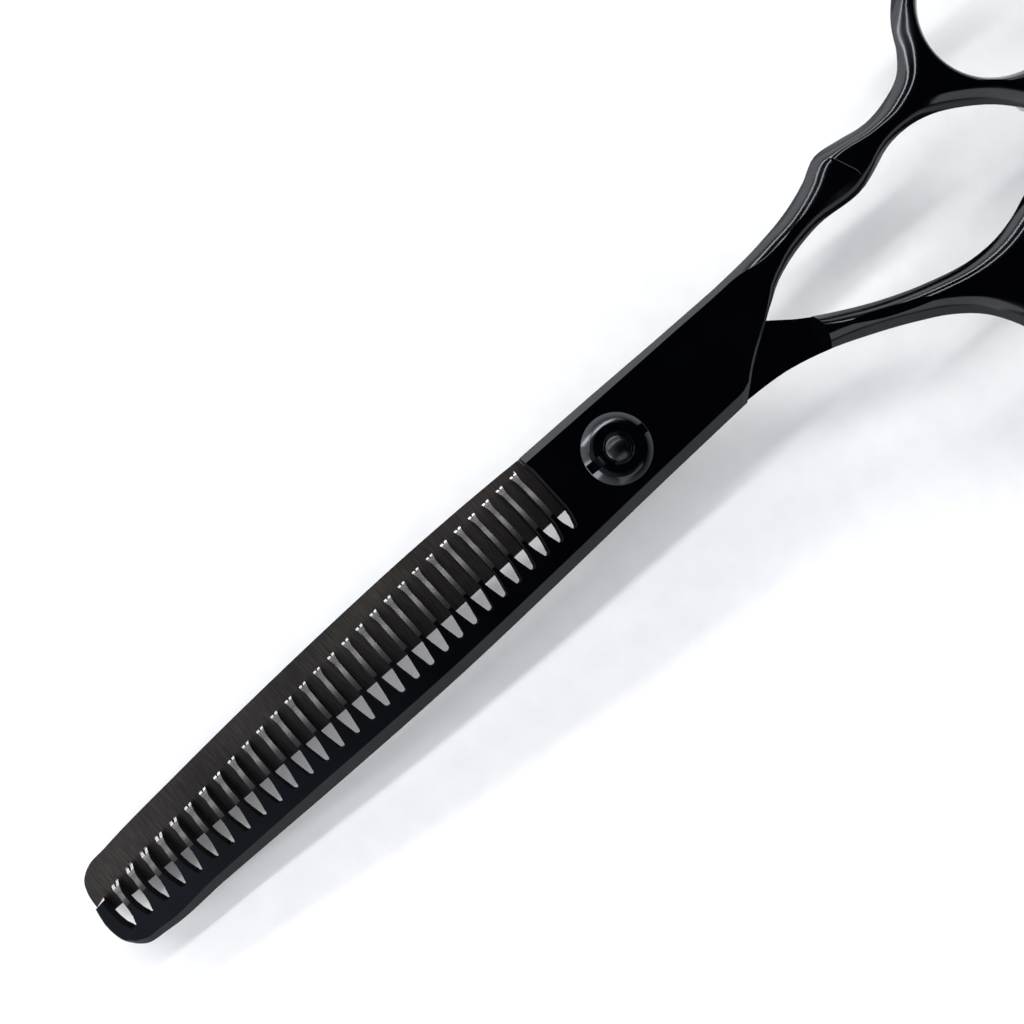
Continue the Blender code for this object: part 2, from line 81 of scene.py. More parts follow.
# Comb
TEETH = 30
PITCH = 2.065
FIRST_GAP_X = 8.93
GAP_TIP = 1.17            # gap between the flared tooth tips
GAP_NECK = 1.57           # behind the flare
GAP_HEEL = 1.56           # where a gap starts to narrow, near the heel
GAP_END = 1.44            # and at the end of the comb
GAP_OPEN_Y = -9.0         # a gap's cutter starts here, beyond the tips
FLARE = (0.06, 0.35)      # middle of the flare: out from the tip's half width, and back
NECK_ROUND = (0.02, 0.3)  # rounds the front of the neck
NECK_BACK = 1.2           # distance of the neck from the tips
GAP_TAPER_Y = 1.15        # where a gap starts to narrow
TAPER_ROUND = (0.12, 0.8)
GULLET = 0.75             # width of the rounded bottom
GULLET_STEPS = 12
GULLET_LINE = (35.66, 3.77)
GULLET_BEND = 0.00075
TIP_LINE = (9.66, -5.4)   # the tips lie on a shallow curve that starts here
TIP_SLOPE = 0.025
TIP_BEND = 0.0007
TIP_EDGE = 0.85           # top of the tooth tips above the ride plane
TIP_CHAMFER = 0.2
CHAMFER_SLOPE = 2.4
MOUTH = 0.06              # flare of a gap where it meets the upper face
MOUTH_DEPTH = 0.04
END_TOOTH_X = 69.2        # the end tooth keeps its flat top
BEVEL_START_X = 8.3
BEVEL_Y = 1.2             # where the bevel of the teeth starts
BEVEL_LIFT = 0.02         # it starts just above the face, so that no sliver is left
BEVEL_STEPS = 14
CHAMFER_X = (9.5, 74.0)
STATIONS_X = (24.0, 40.0, 55.0)
TIPS_X = (69.4, 56.0, 40.0, 25.0)
TOOTH_NOTCH_WIDE = 0.17   # half width in front of the tip
TOOTH_NOTCH_MID = 0.1
TOOTH_NOTCH_DEEP = 0.4
KNIFE_TURN = 23.0         # degrees, bevel of the plain blade
KNIFE_Y = 1.0
KNIFE_DROP = 0.55         # below the ride plane

# Crease across the knuckle
CREASE_START = (-39.3, -9.65)
CREASE_STOP = (-42.3, -2.62)
CREASE_DEPTH = 0.25
CREASE_SIDE = 0.3
CREASE_OVER = 0.15
CREASE_STEPS = 32

# Pivot
RELIEF_R = 27.5
CLEAR = 0.2
BUSH_R = 2.75
WELL_R = 3.75
WELL_FLOOR = 4.25
HEAD_R = 4.6
HEAD_TOP = 1.1
SLOT_HALF = (2.6, 0.45)   # half length and half width of the slot in the head
SLOT_DEEP = 0.45
BOLT_R = 1.9
BOLT_TOP = 6.65
BOLT_FLAT = 1.45          # half the width across the bolt's two flats
BOLT_REACH = 3.0
RIDE_WASHER_R = 4.6
RIDE_WASHER_THICK = 0.45
NUT_R = 3.95
NUT_LOW = 5.95
NUT_TOP = 6.75
NUT_BOSS_R = 3.5
NUT_BOSS = 0.25
NUT_FLAT_R = 2.65         # flat middle of the nut's face
NUT_BAND_R = 3.15         # end of the shallow band round it
BAND_SLOPE = 17.5         # degrees
RIM_SLOPE = 34.0
NUT_LIP_R = 1.68          # hole in the face
NECK_R = 1.6              # top of the bolt, in that hole
NECK_Z = 6.4
NOTCH_WIDE = 1.15
NOTCH_DEEP = 1.75
NOTCH_FLOOR = 0.15        # above the nut's underside
NOTCH_TURN = -4.0         # degrees from X
CAP_R = 1.35
CAP_LOW = 5.75
CAP_TOP = 7.0
CAP_RISE = 0.42           # height of the dome
CAP_STEPS = 13
CAP_CLEAR = 0.3           # shares of the clearance that the threads keep
NUT_CLEAR = 0.4
BALLS = 8

# Rings, bumper and finger rest
FINGER_RING = (-70.89, -9.09)
FINGER_HOLE = (11.5, 9.14)
FINGER_TURN = 4.7
FINGER_WALL = 3.1
THUMB_RING = (-61.14, 21.25)
THUMB_HOLE = (12.0, 9.2)
THUMB_TURN = 8.0
THUMB_WALL = 3.18
BUMPER_X = -67.54
BUMPER_FACE_Y = 5.35
BUMPER_TOP_Y = 8.15
BUMPER_R = 1.8
BUMPER_STEM_R = 1.0
BUMPER_STEM = 2.2
RING_MID = RING_TOP / 2
REST_ANGLE = 190.0
REST_STUD_R = 1.1
REST_STUD = 2.0
REST_PATH = [(0.0, 0.0), (5.0, 0.2), (10.5, 1.9), (15.5, 5.0), (19.0, 9.0)]
REST_COLLAR = [(0.05, 1.95), (0.15, 2.1), (1.2, 2.1), (1.5, 1.9), (1.7, 1.45)]
REST_ROD = 1.8            # where the rod starts
REST_ROD_R = 1.4
REST_TAPER = 0.35
REST_SWELL = 0.9
REST_SWELL_FROM = 0.55    # share of the rod's length
REST_DOME = 1.3           # length of the domed end
REST_STEPS = 29
DOME_STEPS = 9
LIFT = 0.05               # keeps a flange off the face that it sits on

# Edge styles: width of the edge, its height, and how round it is (0 is a flat chamfer)
SPINE = (1.2, 1.0, 0.0)
BACK = (0.85, 0.72, 0.0)
SLIM = (0.7, 0.6, 0.0)
THIN = (0.3, 0.25, 0.0)
FINE = (0.08, 0.08, 0.0)
SPINE_END = (0.95, 0.8, 0.0)
TIP_CURVE = (0.6, 0.5, 0.0)
PLAIN_NECK = (1.0, 0.8, 0.1)
NECK = (1.7, 1.15, 0.6)
SHANK = (2.25, 1.45, 1.0)
WAIST = (1.75, 1.25, 1.0)
INNER = (2.0, 1.4, 1.0)
INNER_END = (1.5, 1.0, 0.8)
PLAIN_INNER_END = (1.3, 1.4, 0.8)
RING = (1.5, 1.5, 1.0)
LUG = (0.7, 0.7, 1.0)
EDGE_WALL = 0.1           # upright part between the upper and lower edge
BELLY_CURVE = 1.15        # 1 is a flat chamfer below, 2 a parabola
MITRE_LIMIT = 0.6         # holds an inset loop back at its corners
HOLE_STEPS = 24
CORNER = True

TOOTHED_FRONT = [
    (-14.44, 5.9, SPINE, CORNER), (-0.34, 6.07, SPINE), (13.66, 6.35, SPINE), (27.56, 6.51, SPINE),
    (43.86, 6.19, SPINE), (59.66, 5.6, SPINE_END), (66.7, 5.38, SLIM),
    (69.3, 4.75, TIP_CURVE), (69.95, 3.95, THIN), (70.45, 3.0, FINE), (70.68, 1.9, FINE),
    (70.72, 0.6, FINE), (70.4, -1.1, FINE, CORNER)]
TOOTHED_BACK = [
    (9.6, -5.4, FINE, CORNER), (9.5, -6.22, BACK, CORNER), (-0.34, -6.11, BACK),
    (-13.74, -5.84, SLIM), (-21.84, -5.79, SLIM), (-27.6, -6.1, NECK), (-32.74, -6.83, SHANK),
    (-36.44, -7.9, SHANK), (-39.48, -9.24, SHANK), (-42.74, -8.9, WAIST), (-46.84, -8.25, WAIST),
    (-50.64, -8.7, SHANK), (-54.14, -10.04, SHANK), (-56.14, -12.11, SHANK), (-57.64, -14.55, SHANK),
    (-59.64, -16.62, RING)]
TOOTHED_INSIDE = [
    (-71.54, 3.5, RING), (-69.94, 4.45, RING), (-68.74, 5.35, LUG), (-66.34, 5.35, LUG),
    (-64.54, 4.35, RING), (-62.74, 2.2, SHANK), (-60.74, 0.13, SHANK), (-57.84, -2.01, SHANK),
    (-53.84, -4.02, SHANK), (-50.54, -4.69, WAIST), (-47.14, -4.55, WAIST), (-43.94, -3.59, WAIST),
    (-41.74, -2.97, SHANK), (-34.44, -3.25, INNER), (-30.19, -2.69, INNER),
    (-26.54, -1.67, INNER_END), (-23.14, -0.05, THIN, CORNER), (-15.94, 4.5, THIN)]
PLAIN_FRONT = [
    (-14.74, -5.05, THIN, CORNER), (-13.34, -5.5, THIN), (-8.0, -5.6, BACK), (-0.34, -5.75, BACK),
    (11.66, -6.4, SPINE), (23.36, -6.67, SPINE), (35.76, -6.55, SPINE), (55.76, -5.78, SPINE),
    (66.5, -5.05, SLIM), (68.9, -4.75, THIN), (70.1, -3.9, FINE), (70.6, -2.8, FINE),
    (70.84, -1.3, FINE), (70.84, 0.25, FINE, CORNER),
    (56.66, 0.7, FINE), (42.66, 1.0, FINE), (25.66, 1.25, FINE), (7.9, 1.2, FINE, CORNER),
    (5.16, 5.05, THIN), (2.66, 5.75, THIN), (-8.34, 5.75, BACK), (-16.04, 5.9, BACK),
    (-20.64, 6.38, PLAIN_NECK), (-25.84, 7.75, NECK), (-30.74, 9.72, SHANK),
    (-35.99, 12.24, SHANK), (-39.74, 14.41, SHANK), (-42.84, 17.15, SHANK), (-44.84, 20.35, SHANK)]
PLAIN_INSIDE = [
    (-55.94, 10.0, RING), (-53.14, 10.86, SHANK), (-49.54, 11.45, SHANK), (-45.84, 11.3, SHANK),
    (-40.24, 9.89, SHANK), (-34.54, 7.7, SHANK), (-29.44, 5.1, INNER),
    (-26.34, 3.25, PLAIN_INNER_END), (-22.94, 0.65, THIN, CORNER)]

# Camera and light
CAMERA_PLACE = (26.86, -2.51, 120.4)
CAMERA_TILT = 6.97        # degrees about Y, towards the tips
CAMERA_TURN = 137.78      # degrees about the line of sight
CAMERA_LENS = 38.67
CAMERA_SENSOR = 36.0
CAMERA_NEAR = 0.005       # metres
FLOOR_DROP = 5.0          # below the origin
FLOOR_TILT = 4.8          # degrees, rising towards the tips
FLOOR_REACH = 2.0         # metres from its middle to each side
# Lamps: place, size in metres, and power in watts
TIP_BOX = ((0.66, 0.0, 0.4), (0.5, 0.25), 3.0)
SPINE_BOX = ((0.0, 0.64, 0.48), (0.7, 0.4), 1.5)
TUBES = {"upper_tube": 55.0, "lower_tube": 30.0}    # degrees above the floor
TUBE_X = -0.2
TUBE_REACH = 0.7
TUBE_SIZE = (1.25, 0.045)
TUBE_POWER = 3.0
# World: its bright part starts where z, corrected by shares of x and y, falls through this band
LEAN_X = -0.25
LEAN_Y = 0.05
LOW_BAND = (0.31, 0.43)
OVERHEAD_X = (0.0, 0.35)
SIDE_BASE = 2.0           # strength of the light, less a share of y
SIDE_SHARE = -0.95


# ---------------------------------------------------------------- outlines

def ramp(x, x0, v0, x1, v1):
    """Value that runs from v0 at x0 to v1 at x1 and is held outside them."""
    t = min(max((x - x0) / (x1 - x0), 0.0), 1.0)
    return v0 + (v1 - v0) * t


def tooth_tip_y(x):
    run = x - TIP_LINE[0]
    return TIP_LINE[1] + TIP_SLOPE * run + TIP_BEND * run * run


def gullet_y(x):
    return GULLET_LINE[1] - GULLET_BEND * (x - GULLET_LINE[0]) ** 2


def ellipse(centre, axes, turn, start, stop, count, edge):
    """Points on an ellipse turned about Z, angles in degrees."""
    spin = Matrix.Rotation(radians(turn), 2)
    points = []
    for i in range(count):
        angle = radians(start + (stop - start) * i / max(count - 1, 1))
        x, y = spin @ Vector((axes[0] * cos(angle), axes[1] * sin(angle)))
        points.append((centre[0] + x, centre[1] + y, edge))
    return points


def smooth_loop(points, longest=1.3, turn_step=radians(4)):
    """Closed smooth curve through the points as rows of x, y, edge width, height and roundness.

    Much shorter steps than these make the boolean cuts of the comb fail."""
    rows = np.array([(p[0], p[1], *p[2]) for p in points], float)
    corner = [len(p) > 3 for p in points]
    count = len(points)
    samples = []
    for i in range(count):
        a, b = rows[i], rows[(i + 1) % count]
        before, after = rows[i - 1], rows[(i + 2) % count]
        length = np.hypot(*(b - a)[:2])
        chord = (b - a)[:2] / length
        leave = arrive = chord
        if not corner[i]:
            back = np.hypot(*(a - before)[:2])
            leave = (a - before)[:2] / back * length + chord * back
            leave = leave / np.hypot(*leave)
        if not corner[(i + 1) % count]:
            ahead = np.hypot(*(after - b)[:2])
            arrive = chord * ahead + (after - b)[:2] / ahead * length
            arrive = arrive / np.hypot(*arrive)
        bend = np.arccos(min(chord @ leave, 1.0)) + np.arccos(min(chord @ arrive, 1.0))
        steps = max(1, ceil(bend / turn_step), ceil(length / longest))
        for step in range(steps):
            t = step / steps
            h = 3 * t * t - 2 * t ** 3
            row = a + (b - a) * h
            row[:2] = (a[:2] * (1 - h) + b[:2] * h + leave * length * (t - 2 * t * t + t ** 3)
                       + arrive * length * (t ** 3 - t * t))
            samples.append(row)
    return np.array(samples)


def inset(samples, share):
    """The loop moved to its left by a share of its edge widths."""
    ahead = np.roll(samples[:, :2], -1, axis=0) - samples[:, :2]
    ahead /= np.linalg.norm(ahead, axis=1)[:, None]
    back = np.roll(ahead, 1, axis=0)
    left = np.stack((-(ahead + back)[:, 1], (ahead + back)[:, 0]), axis=1)
    left /= np.maximum((left ** 2).sum(axis=1) / 2, MITRE_LIMIT)[:, None]
    return samples[:, :2] + left * (samples[:, 2] * share)[:, None]


def plate(name, loops, low, high, levels=13):
    """Solid between two heights whose edges are lofted from the outline's edge styles.

    A round edge takes all of the thickness below it, so the piece is widest near its upper face."""
    mesh = bmesh.new()
    rims = ([], [])
    for samples in loops:
        height, round_ = samples[:, 3], samples[:, 4]
        thick = np.array([high(x, y) - low(x, y) for x, y in samples[:, :2]])
        belly = height * (1 - round_) + (thick - height - EDGE_WALL) * round_
        sides = []
        for side, surface in enumerate((low, high)):
            rows = []
            for k in range(levels):
                out = 1 - k / (levels - 1)
                if side:
                    drop = height * out * (1 - round_ + round_ * out)
                else:
                    drop = belly * (out * (1 - round_) + round_ * out ** BELLY_CURVE)
                place = inset(samples, 1 - out)
                z = np.array([surface(x, y) for x, y in place])
                z = z - drop if side else z + drop
                rows.append([mesh.verts.new(Vector((x, y, h)) * MM)
                             for (x, y), h in zip(place, z)])
            sides.append(rows)
        column = sides[0][::-1] + sides[1]
        for lower, upper in zip(column, column[1:]):
            for i in range(len(lower)):
                mesh.faces.new((lower[i - 1], lower[i], upper[i], upper[i - 1]))
        rims[0].append(column[0])
        rims[1].append(column[-1])
    for rim in rims:
        edges = []
        for row in rim:
            edges += [mesh.edges.get((row[i - 1], row[i])) for i in range(len(row))]
        bmesh.ops.triangle_fill(mesh, use_beauty=True, edges=edges)
    bmesh.ops.recalc_face_normals(mesh, faces=mesh.faces)
    return add_mesh(name, mesh)


# ---------------------------------------------------------------- mesh helpers

def add_mesh(name, mesh):
    data = bpy.data.meshes.new(name)
    mesh.to_mesh(data)
    mesh.free()
    obj = bpy.data.objects.new(name, data)
    SCENE.collection.objects.link(obj)
    return obj


def prism(name, outlines, low, high):
    mesh = bmesh.new()
    for outline in outlines:
        base = mesh.faces.new([mesh.verts.new(Vector((x, y, low)) * MM) for x, y in outline])
        grown = bmesh.ops.extrude_face_region(mesh, geom=[base])["geom"]
        top = [v for v in grown if isinstance(v, bmesh.types.BMVert)]
        bmesh.ops.translate(mesh, verts=top, vec=Vector((0, 0, high - low)) * MM)
    bmesh.ops.recalc_face_normals(mesh, faces=mesh.faces)
    return add_mesh(name, mesh)


def turned(name, profile, steps=96):
    """Solid of revolution about Z from radius and height pairs."""
    mesh = bmesh.new()
    verts = [mesh.verts.new(Vector((r, 0, z)) * MM) for r, z in profile]
    for a, b in zip(verts, verts[1:] + verts[:1]):
        mesh.edges.new((a, b))
    bmesh.ops.spin(mesh, geom=list(mesh.verts) + list(mesh.edges), axis=(0, 0, 1),
                   cent=(0, 0, 0), angle=2 * pi, steps=steps, use_merge=True)
    bmesh.ops.remove_doubles(mesh, verts=mesh.verts, dist=0.002 * MM)
    bmesh.ops.dissolve_degenerate(mesh, dist=0.001 * MM, edges=mesh.edges)
    axis_edges = [e for e in mesh.edges if e.verts[0].co.xy.length + e.verts[1].co.xy.length < 1e-7]
    bmesh.ops.delete(mesh, geom=axis_edges, context="EDGES")
    bmesh.ops.recalc_face_normals(mesh, faces=mesh.faces)
    return add_mesh(name, mesh)


def round_corners(profile, sizes, steps=4):
    """Profile with each inner corner replaced by a small arc of the given size."""
    result = [profile[0]]
    for i in range(1, len(profile) - 1):
        size = sizes.get(i, 0.0)
        here = Vector(profile[i])
        if size <= 0:
            result.append(profile[i])
            continue
        start = here + (Vector(profile[i - 1]) - here).normalized() * size
        stop = here + (Vector(profile[i + 1]) - here).normalized() * size
        for k in range(steps + 1):
            t = k / steps
            point = start * (1 - t) ** 2 + here * 2 * t * (1 - t) + stop * t * t
            result.append(tuple(point))
    result.append(profile[-1])
    return result


def cylinder(name, radius, low, high, segments=96):
    mesh = bmesh.new()
    bmesh.ops.create_cone(mesh, cap_ends=True, segments=segments, radius1=radius * MM,
                          radius2=radius * MM, depth=(high - low) * MM)
    bmesh.ops.translate(mesh, verts=mesh.verts, vec=Vector((0, 0, (low + high) / 2)) * MM)
    return add_mesh(name, mesh)


def block(name, low, high):
    mesh = bmesh.new()
    bmesh.ops.create_cube(mesh, size=1.0)
    bmesh.ops.scale(mesh, verts=mesh.verts, vec=[(b - a) * MM for a, b in zip(low, high)])
    bmesh.ops.translate(mesh, verts=mesh.verts, vec=[(a + b) / 2 * MM for a, b in zip(low, high)])
    return add_mesh(name, mesh)


def with_material(obj, mat):
    obj.data.materials.append(mat)
    return obj


def cut(obj, cutters):
    """Applies the booleans one after another and removes their cutters."""
    for other in cutters:
        step = obj.modifiers.new(other.name, "BOOLEAN")
        step.object = other
        step.operation = "DIFFERENCE"
        step.solver = "MANIFOLD"
        step.material_mode = "TRANSFER"
    apply_modifiers(obj)
    for other in cutters:
        bpy.data.objects.remove(other, do_unlink=True)


def apply_modifiers(obj):
    bpy.context.view_layer.update()
    depsgraph = bpy.context.evaluated_depsgraph_get()
    data = bpy.data.meshes.new_from_object(obj.evaluated_get(depsgraph))
    obj.modifiers.clear()
    obj.data = data


def shade(obj, angle=24):
    obj.data.shade_smooth()
    obj.data.set_sharp_from_angle(angle=radians(angle))


def soften(obj, width, limit=40, segments=2):
    """Small round on every sharp edge, so that the edges catch the light."""
    step = obj.modifiers.new("soften", "BEVEL")
    step.width = width * MM
    step.segments = segments
    step.limit_method = "ANGLE"
    step.angle_limit = radians(limit)
    step.use_clamp_overlap = True
    step.miter_outer = "MITER_ARC"
    apply_modifiers(obj)


# ---------------------------------------------------------------- materials

def new_material(name, colour, metallic, roughness, **sockets):
    mat = bpy.data.materials.new(name)
    mat.use_nodes = True
    shader = mat.node_tree.nodes["Principled BSDF"]
    shader.inputs["Base Color"].default_value = (*colour, 1.0)
    shader.inputs["Metallic"].default_value = metallic
    shader.inputs["Roughness"].default_value = roughness
    for label, value in sockets.items():
        shader.inputs[label.replace("_", " ")].default_value = value
    return mat, shader


def node(mat, kind, **values):
    made = mat.node_tree.nodes.new(kind)
    for label, value in values.items():
        if hasattr(made, label):
            setattr(made, label, value)
        else:
            made.inputs[label.replace("_", " ")].default_value = value
    return made


def join(mat, source, output, target, socket):
    mat.node_tree.links.new(source.outputs[output], target.inputs[socket])


def stretched_noise(mat, scale, size, detail=4.0):
    """Noise on the object's own coordinates, stretched by the scale on each axis."""
    coords = node(mat, "ShaderNodeTexCoord")
    mapping = node(mat, "ShaderNodeMapping")
    mapping.inputs["Scale"].default_value = scale
    noise = node(mat, "ShaderNodeTexNoise", Scale=size, Detail=detail)
    join(mat, coords, "Object", mapping, "Vector")
    join(mat, mapping, "Vector", noise, "Vector")
    return noise


def remap(mat, source, output, low, high, start=0.3, stop=0.7):
    span = node(mat, "ShaderNodeMapRange")
    span.inputs["From Min"].default_value = start
    span.inputs["From Max"].default_value = stop
    span.inputs["To Min"].default_value = low
    span.inputs["To Max"].default_value = high
    join(mat, source, output, span, "Value")
    return span


def two_tone(mat, source, output, dark, light, start=0.3, stop=0.7):
    ramp_node = node(mat, "ShaderNodeValToRGB")
    ramp_node.color_ramp.elements[0].position = start
    ramp_node.color_ramp.elements[0].color = (*dark, 1.0)
    ramp_node.color_ramp.elements[1].position = stop
    ramp_node.color_ramp.elements[1].color = (*light, 1.0)
    join(mat, source, output, ramp_node, "Fac")
    return ramp_node


def bump(mat, shader, source, output, strength, distance):
    made = node(mat, "ShaderNodeBump", Strength=strength, Distance=distance * MM)
    join(mat, source, output, made, "Height")
    join(mat, made, "Normal", shader, "Normal")


def black_steel():
    """Glossy black coating: nearly black, with faint polishing lines and smudges in its gloss."""
    mat, shader = new_material("black_steel", (0.029, 0.03, 0.032), 1.0, 0.12)
    lines = stretched_noise(mat, (1.0, 14.0, 6.0), 900.0, 5.0)
    smudge = stretched_noise(mat, (1.0, 1.0, 1.0), 140.0, 3.0)
    gloss = remap(mat, smudge, "Fac", 0.09, 0.17)
    join(mat, gloss, "Result", shader, "Roughness")
    tone = two_tone(mat, smudge, "Fac", (0.026, 0.0275, 0.03), (0.033, 0.0345, 0.037))
    join(mat, tone, "Color", shader, "Base Color")
    bump(mat, shader, lines, "Fac", 0.02, 0.01)
    return mat


def satin_steel():
    """Duller black of the lock cap."""
    mat, shader = new_material("satin_steel", (0.03, 0.031, 0.031), 1.0, 0.27)
    speckle = stretched_noise(mat, (1.0, 1.0, 1.0), 1800.0, 3.0)
    tone = two_tone(mat, speckle, "Fac", (0.026, 0.027, 0.027), (0.038, 0.04, 0.039))
    join(mat, tone, "Color", shader, "Base Color")
    bump(mat, shader, speckle, "Fac", 0.08, 0.01)
    return mat


def painted_shade_flank():
    """Walls of the gaps: painted shade, a dull near-black without reflections, only so that they look
    dark enough.
    """
    mat, shader = new_material("painted_shade_flank", (0.012, 0.011, 0.011), 0.0, 0.62,
                               Specular_IOR_Level=0.0)
    lines = stretched_noise(mat, (1.0, 1.0, 20.0), 1300.0, 4.0)
    tone = two_tone(mat, lines, "Fac", (0.008, 0.0075, 0.0075), (0.018, 0.0165, 0.016))
    join(mat, tone, "Color", shader, "Base Color")
    bump(mat, shader, lines, "Fac", 0.2, 0.01)
    return mat


def ground_steel():
    """Satin face of the teeth, ground along the blade and then coated."""
    mat, shader = new_material("ground_steel", (0.1, 0.098, 0.096), 1.0, 0.36)
    lines = stretched_noise(mat, (0.4, 30.0, 6.0), 1500.0, 5.0)
    tone = two_tone(mat, lines, "Fac", (0.045, 0.045, 0.045), (0.09, 0.09, 0.088))
    join(mat, tone, "Color", shader, "Base Color")
    gloss = remap(mat, lines, "Fac", 0.26, 0.36)
    join(mat, gloss, "Result", shader, "Roughness")
    bump(mat, shader, lines, "Fac", 0.15, 0.01)
    return mat


def bare_steel():
    """Bright cutting edges, ground through the coating."""
    mat, shader = new_material("bare_steel", (0.6, 0.6, 0.6), 1.0, 0.25)
    lines = stretched_noise(mat, (30.0, 1.0, 6.0), 1200.0, 4.0)
    tone = two_tone(mat, lines, "Fac", (0.5, 0.5, 0.5), (0.68, 0.68, 0.68))
    join(mat, tone, "Color", shader, "Base Color")
    bump(mat, shader, lines, "Fac", 0.08, 0.01)
    return mat


def inner_steel():
    """Inner face of the plain blade: dark brown satin with fine lines across the blade."""
    mat, shader = new_material("inner_steel", (0.06, 0.05, 0.043), 1.0, 0.42)
    lines = stretched_noise(mat, (16.0, 0.5, 4.0), 1100.0, 6.0)
    cloud = stretched_noise(mat, (1.0, 1.5, 1.0), 90.0, 3.0)
    tone = two_tone(mat, lines, "Fac", (0.036, 0.03, 0.028), (0.085, 0.075, 0.07))
    join(mat, tone, "Color", shader, "Base Color")
    gloss = remap(mat, cloud, "Fac", 0.34, 0.5)
    join(mat, gloss, "Result", shader, "Roughness")
    bump(mat, shader, lines, "Fac", 0.25, 0.012)
    return mat


def bright_metal(name, dark, light, roughness):
    """Turned or ground metal of the hidden pieces, with fine rings of tool marks."""
    mat, shader = new_material(name, light, 1.0, roughness)
    marks = stretched_noise(mat, (1.0, 1.0, 9.0), 1400.0, 4.0)
    tone = two_tone(mat, marks, "Fac", dark, light)
    join(mat, tone, "Color", shader, "Base Color")
    bump(mat, shader, marks, "Fac", 0.1, 0.01)
    return mat


def matt(name, dark, light, roughness, size):
    """Moulded rubber or polymer with a fine grain."""
    mat, shader = new_material(name, light, 0.0, roughness)
    grain = stretched_noise(mat, (1.0, 1.0, 1.0), size, 5.0)
    tone = two_tone(mat, grain, "Fac", dark, light)
    join(mat, tone, "Color", shader, "Base Color")
    bump(mat, shader, grain, "Fac", 0.3, 0.03)
    return mat


BLACK = black_steel()
GROUND = ground_steel()
BARE = bare_steel()
SATIN = satin_steel()
FLANK_SHADE = painted_shade_flank()
INNER_FACE = inner_steel()
BEARING = bright_metal("bearing_steel", (0.42, 0.42, 0.43), (0.6, 0.6, 0.61), 0.25)
BRASS = bright_metal("brass", (0.5, 0.36, 0.15), (0.72, 0.53, 0.25), 0.3)
POLYMER = matt("white_polymer", (0.7, 0.7, 0.67), (0.85, 0.85, 0.82), 0.5, 900.0)
RUBBER = matt("rubber", (0.012, 0.012, 0.013), (0.03, 0.03, 0.031), 0.75, 1200.0)


# ---------------------------------------------------------------- the two halves

def blade_thickness(x):
    return ramp(x, BLADE_X[0], HALF_THICK, BLADE_X[1], TIP_THICK)


def crown(x, y):
    """Height that the shank stands above its edges, with a ridge across the knuckle."""
    ridge = KNUCKLE[0] - KNUCKLE_SLANT * (y - KNUCKLE[1])
    return CROWN_RISE * ramp(abs(x - ridge), 0.0, 1.0, CROWN_REACH, 0.0) ** 1.5


def toothed_top(x, y):
    if x > 0:
        return RIDE + blade_thickness(x)
    return ramp(x, SHANK_X, RIDE + HALF_THICK, RING_X, RING_TOP)


def plain_top(x, y):
    return ramp(x, PLAIN_SHANK_X, PLAIN_SHANK_TOP, RING_X, RING_TOP)


def low_height(x, y):
    if x > 0:
        return RIDE - blade_thickness(x)
    return ramp(x, SHANK_X, SHANK_LOW, RING_X, 0.0)


def gap_outline(x, grow):
    """One gap of the comb: flared tips, a neck, straight flanks and a round gullet."""
    tip = tooth_tip_y(x)
    bottom = gullet_y(x)
    narrow = GULLET / 2
    base = ramp(x, 9.0, GAP_HEEL, 69.0, GAP_END) / 2
    side = [(GAP_TIP / 2, GAP_OPEN_Y), (GAP_TIP / 2, tip), (GAP_TIP / 2 + FLARE[0], tip + FLARE[1]),
            (GAP_NECK / 2 - NECK_ROUND[0], tip + NECK_BACK - NECK_ROUND[1]),
            (GAP_NECK / 2, tip + NECK_BACK), (base, GAP_TAPER_Y),
            (base - TAPER_ROUND[0], GAP_TAPER_Y + TAPER_ROUND[1])]
    right = [(x + w + grow, y) for w, y in side]
    left = [(x - w - grow, y) for w, y in reversed(side)]
    arc = []
    for step in range(GULLET_STEPS + 1):
        angle = pi * step / GULLET_STEPS
        arc.append((x + (narrow + grow) * cos(angle),
                    bottom - narrow + (narrow + grow) * sin(angle)))
    return right + arc + left


def gap_cutters():
    """All gaps, each with a slightly flared mouth that breaks the edge on the upper face."""
    mesh = bmesh.new()
    for i in range(TEETH):
        x = FIRST_GAP_X + PITCH * i
        top = RIDE + blade_thickness(x)
        rows = []
        for z, grow in ((0.0, 0.0), (top - MOUTH_DEPTH, 0.0), (top + MOUTH, MOUTH)):
            rows.append([mesh.verts.new(Vector((px, py, z)) * MM)
                         for px, py in gap_outline(x, grow)])
        for lower, upper in zip(rows, rows[1:]):
            for k in range(len(lower)):
                mesh.faces.new((lower[k - 1], lower[k], upper[k], upper[k - 1]))
        mesh.faces.new(rows[0][::-1])
        mesh.faces.new(rows[-1])
    bmesh.ops.recalc_face_normals(mesh, faces=mesh.faces)
    # The walls of the gaps get the painted shade of the dull near-black flank material.
    return with_material(add_mesh("gaps", mesh), FLANK_SHADE)


